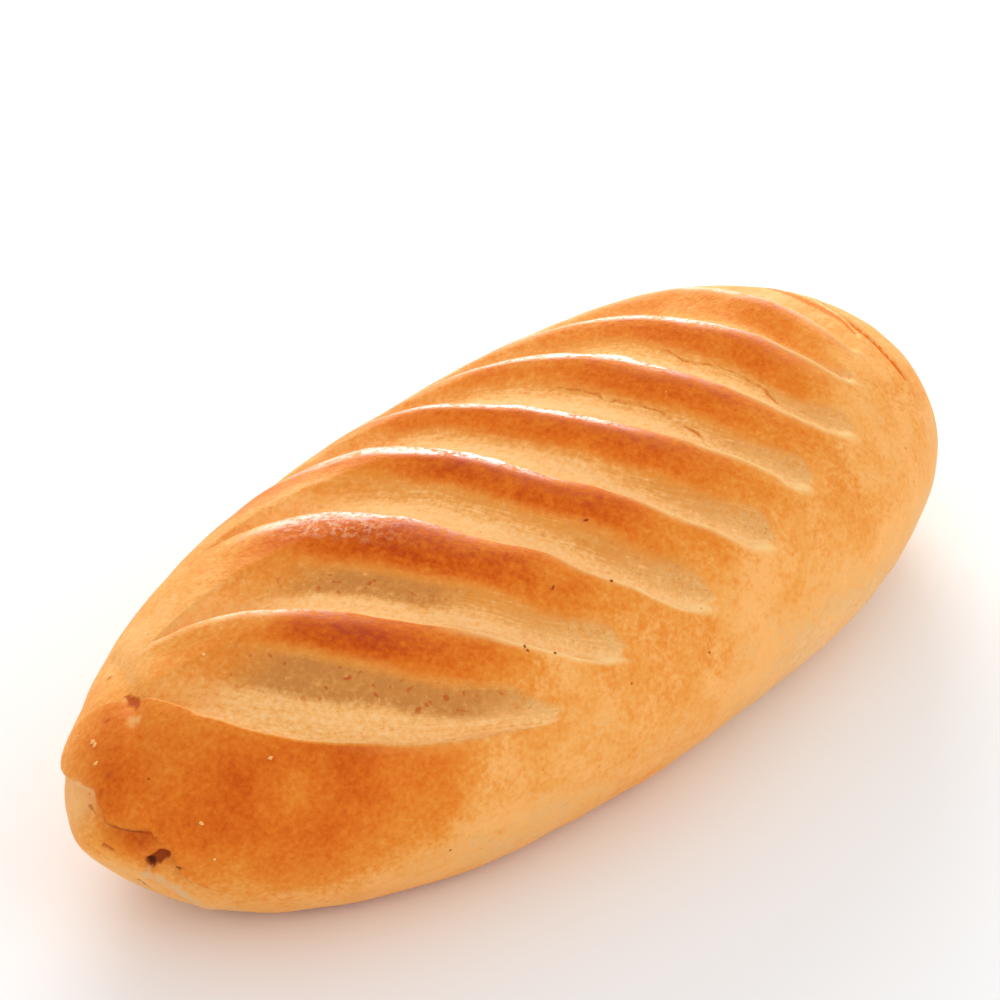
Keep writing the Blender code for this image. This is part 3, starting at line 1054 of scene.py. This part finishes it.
def paint(red, green, blue):
    """A screen colour, 0 to 255, as the light it stands for."""
    parts = [value / 255 for value in (red, green, blue)]
    parts = [part / 12.92 if part <= 0.04045 else ((part + 0.055) / 1.055) ** 2.4 for part in parts]
    return (*parts, 1.0)


print("a mid grey:", [round(part, 3) for part in paint(128, 128, 128)])

# %% [markdown]
# ## The finish of the crust
#
# Browned crust goes from cream over straw, amber and chestnut. One ramp holds that way, and
# the browning kept on the mesh, broken up by noise of every size from blotch to speck, is
# read through it. Two of the grains are long and follow the cuts: the strands of the torn
# dough and the streaks of the ridges.

# %% Grain and browned crust
Grain = namedtuple("Grain", "blotches clouds mottle specks patches strands streaks")
GRAINS = Grain(
    blotches=(0.030, 2.0, 0.5, (4.0, 6.0, 1.0)),
    clouds=(0.012, 3.0, 0.6),
    mottle=(0.0042, 2.0, 0.6, (3.0, 1.0, 7.0)),
    specks=(0.0014, 2.0, 0.6),
    patches=(0.0026, 3.0, 0.7, (6.0, 2.0, 9.0)),
    strands=((0.0008, 0.0085, 0.0085), 2.0, 0.6),
    streaks=((0.0019, 0.0075, 0.0075), 3.0, 0.65, (2.0, 0.0, 5.0)),
)
STRAW_GRAIN = (0.017, 3.0, 0.6, (7.0, 7.0, 2.0))
STRAW = paint(254, 186, 110)
CRUST_STOPS = (
    (0.00, paint(246, 196, 138)),
    (0.18, paint(238, 182, 114)),
    (0.28, paint(246, 179, 101)),
    (0.40, paint(243, 164, 76)),
    (0.55, paint(234, 138, 44)),
    (0.70, paint(225, 114, 24)),
    (0.85, paint(208, 90, 6)),
    (1.00, paint(188, 66, 0)),
)


def crust_grain(finish, flow):
    """Noise around 0 for every grain; the ones with three sizes follow the cuts."""
    made = []
    for recipe in GRAINS:
        source = flow if isinstance(recipe[0], tuple) else None
        made.append(finish.grain(*recipe, source=source) - 0.5)
    return Grain(*made)


def crust_colour(finish, grain, ridge):
    """Browned skin, streaked and patched on its ridges, with straw where it stayed pale."""
    browned = finish.kept("bake") + grain.blotches * 0.34 + grain.clouds * 0.22
    browned = browned + grain.mottle * 0.20 + grain.specks * 0.36
    browned = browned + (grain.streaks * 0.36 + grain.patches * 0.50) * ridge
    straw = finish.band(finish.grain(*STRAW_GRAIN), 0.48, 0.62) * finish.band(browned, 0.50, 0.34)
    return finish.mix(straw * 0.55, finish.ramp(browned, CRUST_STOPS), STRAW)


print("grains:", len(GRAINS), "steps of brown:", len(CRUST_STOPS))

# %% [markdown]
# ## The finish of the torn dough
#
# Torn dough is matte and dusty. A second ramp takes it from cream to tan, noise along the
# cuts shows the strands that stretched as it tore, and two fine noises pepper it with brown
# and grey, most of all near the tips.

# %% Torn dough
DOUGH_STOPS = (
    (0.00, paint(255, 202, 136)),
    (0.30, paint(251, 187, 112)),
    (0.60, paint(237, 165, 84)),
    (1.00, paint(231, 150, 64)),
)
TIP_TAN = paint(240, 184, 114)
PEPPER_GRAIN, PEPPER = (0.0009, 2.0, 0.6, (1.0, 9.0, 4.0)), paint(194, 136, 76)
GREY_GRAIN, GREY_TAN = (0.0011, 2.0, 0.6, (5.0, 2.0, 1.0)), paint(210, 160, 104)
DUSK_BROWN = paint(203, 133, 66)


def dough_colour(finish, grain):
    """Cream to tan dough, peppered, with dull tips and the dusk behind the first lips."""
    valley, tip_tan = finish.kept("valley"), finish.kept("tip_tan")
    shade = valley * (grain.strands * 1.4 + grain.mottle * 1.2 + 1.0)
    dough = finish.ramp(shade + grain.specks * 1.2 + grain.strands * 0.45, DOUGH_STOPS)
    dough = finish.mix(tip_tan * (0.62 + grain.specks * 4.0), dough, TIP_TAN)
    pepper = finish.band(finish.grain(*PEPPER_GRAIN), 0.60, 0.72) * (tip_tan * 0.5 + 0.12)
    dough = finish.mix(pepper, dough, PEPPER)
    grey = finish.band(finish.grain(*GREY_GRAIN), 0.52, 0.66) * (valley + 0.05)
    dough = finish.mix(grey * 0.4, dough, GREY_TAN)
    return finish.mix(finish.kept("dusk") * (0.9 + grain.specks * 1.6 + grain.mottle), dough, DUSK_BROWN)


print("steps of dough:", len(DOUGH_STOPS))

# %% [markdown]
# ## Cracks, rims and pores
#
# Where the dough stretched last it cracked along the cut, and the torn rims dried pale; their
# pale line is partly a painted highlight. Small bubbles left red-brown pores and flecks, and
# pits whose dark is painted shade. Cracks are bands round a wandering line, and pores are the
# peaks of a noise or dots in scattered cells.

# %% Cracks along the cuts
Crack = namedtuple("Crack", "place near far bend")
CRACKS = (Crack(0.0700, -0.030, 0.004, 0.45), Crack(0.0375, -0.030, 0.014, 0.67))
CRACK_GRAIN, CRACK_STRAY = (0.010, 2.0, 0.5), 0.009
CRACK_TURN = 0.015
CRACK_WIDTH, CRACK_CORE = 0.0009, 0.0001
CRACK_SOFT = 0.004


def wandering_crack(finish, flow, crack):
    """A thin crack along the cuts, which bends away at its near end."""
    stray = finish.grain(*CRACK_GRAIN) - 0.5
    along = finish.node("ShaderNodeSeparateXYZ", None, {0: flow}, output=0)
    across = finish.node("ShaderNodeSeparateXYZ", None, {0: flow}, output=1)
    drop = across * -1.0 - CRACK_TURN
    drop = drop.join("MAXIMUM", drop, 0.0)
    gap = along + stray * CRACK_STRAY + drop * crack.bend - crack.place
    line = finish.band(gap.join("ABSOLUTE", gap, 0.0), CRACK_WIDTH, CRACK_CORE)
    near_end = finish.band(across, crack.near - CRACK_SOFT, crack.near)
    return line * near_end * finish.band(across, crack.far + CRACK_SOFT, crack.far)


print("cracks:", len(CRACKS))

# %% Rims, torn edges and pores
CRACK_BROWN = paint(214, 122, 46)
RIM_CREAM_HIGHLIGHT = paint(255, 208, 138)
TORN_PALE = paint(244, 200, 140)
# The blister's pink is partly a painted sheen on the crest.
FLAKY, BLISTER_SHEEN_PINK = (0.0016, 3.0, 0.65, (2.0, 8.0, 4.0)), paint(238, 176, 130)
PORE_GRAIN, PORE_RED = (0.0024, 1.0, 0.5, (9.0, 3.0, 6.0)), paint(196, 96, 40)
FLECKS, FLECK_PALE = (0.0060, 0.00042, 0.14), paint(246, 180, 96)
# Painted shade in the pits and in the crack by the hole.
PIT_SHADE_BROWN = paint(146, 62, 18)
DOTS = (
    ((0.0048, 0.00040, 0.30), 0.6, PORE_RED),
    # Pits, painted dark as shade in a hollow.
    ((0.0130, 0.00045, 0.24), 0.7, PIT_SHADE_BROWN),
)


def add_edges(finish, colour, grain, cracks):
    """Cracks, pale rims that are partly a painted highlight, and torn edges over the colour."""
    broken = finish.band(grain.patches + grain.mottle, -0.16, 0.12, 0.15, 0.95)
    colour = finish.mix(cracks * broken, colour, CRACK_BROWN)
    # Pale rims, partly dried dough and partly a painted highlight.
    colour = finish.mix(finish.kept("rim") * (0.85 + grain.mottle * 0.8), colour, RIM_CREAM_HIGHLIGHT)
    torn = finish.kept("torn") * (0.9 + grain.specks * 1.4 + grain.mottle * 1.5)
    return finish.mix(torn, colour, TORN_PALE)


def add_pores(finish, colour, opened):
    """A blister with painted pink sheen, pores, pale flecks and dots over the colour so far."""
    flakes = finish.kept("blister") * finish.band(finish.grain(*FLAKY), 0.44, 0.62)
    # Painted sheen and flaking skin: the blister is tinted pink on the crest.
    colour = finish.mix(flakes * 0.95, colour, BLISTER_SHEEN_PINK)
    pores = finish.band(finish.grain(*PORE_GRAIN), 0.62, 0.72) * (finish.kept("dusk") + 0.12)
    colour = finish.mix(pores * 0.8, colour, PORE_RED)
    colour = finish.mix(finish.dots(*FLECKS) * (1.0 - opened) * 0.8, colour, FLECK_PALE)
    for recipe, strength, dot_colour in DOTS:
        colour = finish.mix(finish.dots(*recipe) * strength, colour, dot_colour)
    return colour


print("kinds of dots:", 1 + len(DOTS))

# %% [markdown]
# ## Marks of this one loaf
#
# A loaf is known by its accidents: a groove and a lip at the plain end, pits where a bubble
# burst, and stains, a flake and a hole at the torn seam. The groove's orange and the dark of
# the pits, the dent, the hole and the lines under the flap are painted shade, and the lip's
# pale line is a painted highlight. Each is a stroke along a line or a round spot, drawn on
# the body before its relief, so that it stays in its place.

# %% Groove and lip of the plain end, painted as shade and highlight
# The groove's orange is painted shade in the valley of the eighth cut.
TAIL_LINE = Line(
    (
        (0.1290, 0.0230, 0.0600), (0.1274, 0.0128, 0.0634), (0.1258, 0.0060, 0.0655),
        (0.1241, -0.0003, 0.0666), (0.1236, -0.0068, 0.0667), (0.1231, -0.0133, 0.0660),
        (0.1220, -0.0187, 0.0653),
    ),
    0.0011, 0.0,
)
# A painted highlight along the crest of the lip at the plain end.
TAIL_HIGHLIGHT_LINE = Line(
    (
        (0.1295, 0.0122, 0.0623), (0.1274, 0.0016, 0.0650), (0.1259, -0.0035, 0.0658),
        (0.1242, -0.0121, 0.0657), (0.1219, -0.0208, 0.0647),
    ),
    0.0012, 0.0,
)
# Painted shade in the grooves of the plain end.
GROOVE_SHADE_ORANGE = paint(244, 122, 8)


def add_groove(finish, colour, where, groove):
    """A painted highlight on the lip and painted shade in the orange groove of the plain end."""
    colour = finish.mix(finish.stroke(where, TAIL_HIGHLIGHT_LINE, 1.0, 0.9) * 0.7, colour, RIM_CREAM_HIGHLIGHT)
    return finish.mix(groove * 0.95, colour, GROOVE_SHADE_ORANGE)


print("points of the groove:", len(TAIL_LINE.path) + len(LAST_CUT_LINE.path))

# %% Stains, flake, and painted shade under the flap and in the hole of the seam
# The line of the painted shadow under the flap's edge.
FLAP_SHADE = Line(
    (
        (-0.1473, 0.0012, 0.0424), (-0.1461, -0.0029, 0.0428), (-0.1451, -0.0054, 0.0431),
        (-0.1439, -0.0084, 0.0434),
    ),
    0.0011, 0.0,
)
# A painted shadow in a pocket under the flap's edge.
POCKET = Line(((-0.1474, 0.0105, 0.0436), (-0.1476, 0.0068, 0.0424)), 0.0008, 0.0)
# The dent, darkened as painted shade.
DENT = Line(((-0.1230, 0.0188, 0.0588), (-0.1243, 0.0146, 0.0597)), 0.0013, 0.0)
# Dark lines painted as shade: the seam under the flake, the pocket, the slit and the hole.
SEAM_SHADOWS = ((UNDER_FLAKE, 1.0, 0.8), (POCKET, 1.0, 0.55), (LOBE_SLIT, 1.0, 0.55), (HOLE, 0.95, 1.0))
STAINS = (
    (-0.1409, 0.0065, 0.0510), (-0.1307, 0.0181, 0.0555), (-0.1442, 0.0057, 0.0481),
    (-0.1187, 0.0321, 0.0547),
)
STAIN_RADIUS = 0.0014
PITS = (
    (-0.0143, -0.0469, 0.0682), (-0.0303, -0.0401, 0.0713), (-0.0481, -0.0462, 0.0653),
    (-0.0479, -0.0473, 0.0645), (-0.0405, -0.0513, 0.0625), (-0.0829, -0.0552, 0.0248),
    (-0.1371, -0.0029, 0.0531), (-0.0069, -0.0303, 0.0765), (0.0057, -0.0670, 0.0455),
)
PIT_RADIUS = 0.00060
PATCH_CENTRE, PATCH_RADIUS = (-0.1285, 0.0113, 0.0583), 0.0027
HOLE_RADIUS = 0.0014
PATCH_PALE = paint(244, 180, 106)
# Stains, and painted shade in the dent.
STAIN_AND_DENT_SHADE_BROWN = paint(192, 84, 20)
FLAKE_GREY = paint(228, 182, 130)
# Painted shade for the dark lines and hollows of the seam.
PAINTED_SHADE_BROWN = paint(160, 68, 14)
# Painted shade deep in the hole.
HOLE_SHADE_BROWN = paint(92, 38, 8)


def add_seam_marks(finish, colour, grain, where):
    """Stains, a pale patch, the dent, the flake, painted shade at the seam and in the pits."""
    colour = finish.mix(finish.spots(where, STAINS, STAIN_RADIUS, 0.8) * 0.7, colour, STAIN_AND_DENT_SHADE_BROWN)
    ragged = finish.strayed(where, 0.0022, 0.0032)
    patch = finish.spot(ragged, PATCH_CENTRE, PATCH_RADIUS, 0.7) * (0.6 + grain.patches * 2.0)
    colour = finish.mix(patch, colour, PATCH_PALE)
    # The dent is darkened as painted shade in its hollow.
    colour = finish.mix(finish.stroke(ragged, DENT, 1.5, 0.7) * 0.95, colour, STAIN_AND_DENT_SHADE_BROWN)
    worn = finish.band(grain.patches + grain.specks * 0.5, -0.20, 0.10, 0.25, 0.95)
    colour = finish.mix(finish.stroke(ragged, FLAKE, 1.0, 0.5) * worn, colour, FLAKE_GREY)
    # Painted shadow under the flap's edge, as a stroke and as the band kept on the mesh.
    edge = finish.stroke(where, FLAP_SHADE, 1.0, 0.8) * 0.6 + finish.kept("under_edge") * 0.8
    colour = finish.mix(edge, colour, PAINTED_SHADE_BROWN)
    # Painted shade along the seam's dark lines and in the hole.
    for line, spread, strength in SEAM_SHADOWS:
        colour = finish.mix(finish.stroke(where, line, spread) * strength, colour, PAINTED_SHADE_BROWN)
    # The pits and the crack by the hole are painted dark as shade in their hollows.
    pits = finish.stroke(where, CRACK, 0.8) * 0.7 + finish.spots(where, PITS, PIT_RADIUS, 0.7)
    colour = finish.mix(pits, colour, PIT_SHADE_BROWN)
    # The bottom of the hole, painted near black as shade.
    return finish.mix(finish.spot(where, HOLE.path[1], HOLE_RADIUS), colour, HOLE_SHADE_BROWN)


print("stains:", len(STAINS), "pits:", len(PITS))

# %% [markdown]
# ## Putting the finish together
#
# The layers go on as the oven and the hand made them: crust and dough first, then edges,
# pores and marks. Crust is smoother than dough, and only its glossy crests get a clear coat.
# The fine relief of grain, strands and cracks is too small for the mesh, so it is a bump.

# %% Crust finish
MARK_STRAY_SIZE, MARK_STRAY = 0.0014, 0.0013
SKIN_ROUGH, DOUGH_ROUGH = 0.62, 0.85
FINE_GRAIN = (0.0007, 3.0, 0.6)
GRAIN_HEIGHT = 0.0002
MOTTLE_HEIGHT = 0.00035
CRACK_DEPTH = 0.00015
GROOVE_DEPTH = 0.0002


def crust_bump(finish, grain, opened, ridge, cracks, groove):
    """Fine relief of the grain, the strands, the streaks, the cracks and the groove."""
    height = grain.specks * 1.1 + finish.grain(*FINE_GRAIN) * 0.5
    height = (height + grain.strands * opened + grain.streaks * ridge * 2.0) * GRAIN_HEIGHT
    height = height + grain.mottle * MOTTLE_HEIGHT - cracks * CRACK_DEPTH - groove * GROOVE_DEPTH
    return finish.node("ShaderNodeBump", None, {"Height": height, "Strength": 0.8, "Distance": 1.0})


def crust_finish():
    """Browned crust with torn, pale dough in its cuts."""
    finish = Finish("crust_browned")
    opened, ridge, flow = finish.kept("opened"), finish.kept("ridge"), finish.kept("flow", "Vector")
    where = finish.strayed(finish.kept("unraised", "Vector"), MARK_STRAY_SIZE, MARK_STRAY)
    grain = crust_grain(finish, flow)
    cracks = wandering_crack(finish, flow, CRACKS[0]) + wandering_crack(finish, flow, CRACKS[1])
    # The grooves: painted shade in colour, and a shallow bump.
    groove = finish.stroke(where, TAIL_LINE, 1.0, 0.5) + finish.stroke(where, LAST_CUT_LINE, 1.0, 0.5)
    colour = finish.mix(opened, crust_colour(finish, grain, ridge), dough_colour(finish, grain))
    colour = add_edges(finish, colour, grain, cracks)
    colour = add_groove(finish, colour, where, groove)
    colour = add_pores(finish, colour, opened)
    colour = add_seam_marks(finish, colour, grain, where)
    uneven = finish.band(grain.streaks + grain.specks + grain.patches * 0.5, -0.22, 0.14, 0.05, 1.0)
    finish.surface({
        "Base Color": colour,
        "Roughness": finish.band(opened, 0.0, 1.0, SKIN_ROUGH, DOUGH_ROUGH),
        "Specular IOR Level": 0.12,
        "Coat Weight": finish.kept("gloss") * uneven,
        "Coat Roughness": 0.34,
        "Coat IOR": 1.75,
        "Normal": crust_bump(finish, grain, opened, ridge, cracks, groove),
    })
    return finish.material


mesh.materials.append(crust_finish())
print("nodes in the crust:", len(mesh.materials[0].node_tree.nodes))

# %% [markdown]
# ## Crumbs on the crust
#
# A few dry crumbs cling to the folded end. Each is a small squashed ball, roughened at random,
# that sits a little proud of the skin.

# %% Make the crumbs
CRUMBS = (
    (-0.1364, 0.0174, 0.0521, 0.00075), (-0.1372, 0.0158, 0.0521, 0.00055),
    (-0.1402, 0.0120, 0.0508, 0.00055), (-0.1160, -0.0236, 0.0577, 0.00055),
    (-0.1348, -0.0191, 0.0466, 0.00050), (-0.1356, -0.0231, 0.0377, 0.00035),
    (-0.1052, 0.0088, 0.0679, 0.00045), (-0.1349, 0.0255, 0.0487, 0.00035),
)
CRUMB_SEED = 7
CRUMB_SQUASH = (1.2, 0.9, 0.75)
CRUMB_JITTER = 0.25
CRUMB_LIFT = 0.15
CRUMB_YELLOW = paint(247, 190, 112)


def crumb_places():
    """Where each crumb sits on the skin, and the direction that points away from it there."""
    for *spot, radius in CRUMBS:
        gaps = np.linalg.norm(body - np.array(spot), axis=-1)
        at = np.unravel_index(np.argmin(gaps), gaps.shape)
        yield Vector(skin[at] - middle), Vector(outward[at]), radius


def make_crumbs():
    """All the crumbs as one mesh."""
    shape = bmesh.new()
    chance = random.Random(CRUMB_SEED)
    for place_on_skin, away, radius in crumb_places():
        made = bmesh.ops.create_icosphere(shape, subdivisions=2, radius=radius)
        spin = Matrix.Rotation(chance.uniform(0, math.pi), 3, "Z")
        turn = away.to_track_quat("Z", "Y").to_matrix() @ spin
        for vertex in made["verts"]:
            vertex.co *= 1.0 + CRUMB_JITTER * chance.uniform(-1.0, 1.0)
            vertex.co = Vector(a * b for a, b in zip(vertex.co, CRUMB_SQUASH))
            vertex.co = turn @ vertex.co + place_on_skin + away * radius * CRUMB_LIFT
    return as_mesh(shape, "crumbs")


crumbs = add_object("crumbs", make_crumbs())
crumbs.data.shade_smooth()
crumb_finish = Finish("crumb_dry")
crumb_finish.surface({"Base Color": CRUMB_YELLOW, "Roughness": 0.8, "Specular IOR Level": 0.2})
crumbs.data.materials.append(crumb_finish.material)
print("crumbs:", len(CRUMBS), "faces:", len(crumbs.data.polygons))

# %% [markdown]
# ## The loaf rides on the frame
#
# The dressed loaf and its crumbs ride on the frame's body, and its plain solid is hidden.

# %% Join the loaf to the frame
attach(loaf, "root")
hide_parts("loaf")
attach(crumbs, "root")

# %% [markdown]
# ## A bright studio
#
# Food on white is lit from behind and above with large soft lights, so that the ridges get
# a clean rim of light, while a white room fills the front. The floor is a plain pale sheet.

# %% Floor, light and camera
FLOOR_HALF = 6.0
FLOOR_WHITE = (0.93, 0.93, 0.93, 1.0)
ROOM_WHITE = (1.0, 1.0, 1.0, 1.0)
ROOM_LIGHT = 0.86
LIGHTS = (
    ("back_light", 50, 17, 1.3, (0.75, 0.72), 9.0),
    ("side_light", -80, 30, 1.3, (0.80, 0.80), 1.0),
)
SENSOR = 36.0
FOCAL = 128.95
VIEW_AZIMUTH = -137.0
VIEW_HEIGHT = 36.6
VIEW_DISTANCE = 1.0
VIEW_TARGET = Vector((0.020, 0.024, 0.040)) - Vector(middle)


def face_loaf(thing, azimuth, height, distance):
    """Stand a light or camera in a direction from the loaf, in degrees, and turn it to face it."""
    azimuth, height = math.radians(azimuth), math.radians(height)
    level = math.cos(height)
    back = Vector((level * math.cos(azimuth), level * math.sin(azimuth), math.sin(height)))
    thing.location = VIEW_TARGET + back * distance
    thing.rotation_euler = back.to_track_quat("Z", "Y").to_euler()


def make_floor():
    """A plain pale floor, a hair below the loaf."""
    shape = bmesh.new()
    bmesh.ops.create_grid(shape, x_segments=1, y_segments=1, size=FLOOR_HALF)
    floor = add_object("floor", as_mesh(shape, "floor"))
    finish = Finish("floor_white")
    finish.surface({"Base Color": FLOOR_WHITE, "Roughness": 0.9, "Specular IOR Level": 0.1})
    floor.data.materials.append(finish.material)


def light_room():
    """An even white room."""
    world = bpy.data.worlds.new("white_room")
    world.use_nodes = True
    background = world.node_tree.nodes["Background"]
    background.inputs["Color"].default_value = ROOM_WHITE
    background.inputs["Strength"].default_value = ROOM_LIGHT
    bpy.context.scene.world = world


def soft_light(name, azimuth, height, distance, size, radiance):
    """A rectangular soft light that faces the loaf, by how bright its face looks."""
    data = bpy.data.lights.new(name, "AREA")
    data.shape = "RECTANGLE"
    data.size, data.size_y = size
    data.energy = radiance * math.pi * size[0] * size[1]
    face_loaf(add_object(name, data), azimuth, height, distance)


def make_camera():
    """The camera at the photograph's angle."""
    data = bpy.data.cameras.new("camera")
    data.sensor_width = SENSOR
    data.lens = FOCAL
    camera = add_object("camera", data)
    face_loaf(camera, VIEW_AZIMUTH, VIEW_HEIGHT, VIEW_DISTANCE)
    bpy.context.scene.camera = camera


make_floor()
light_room()
for light in LIGHTS:
    soft_light(*light)
make_camera()
bpy.context.scene.view_settings.view_transform = "Standard"
print("camera at", tuple(round(value, 3) for value in bpy.context.scene.camera.location))
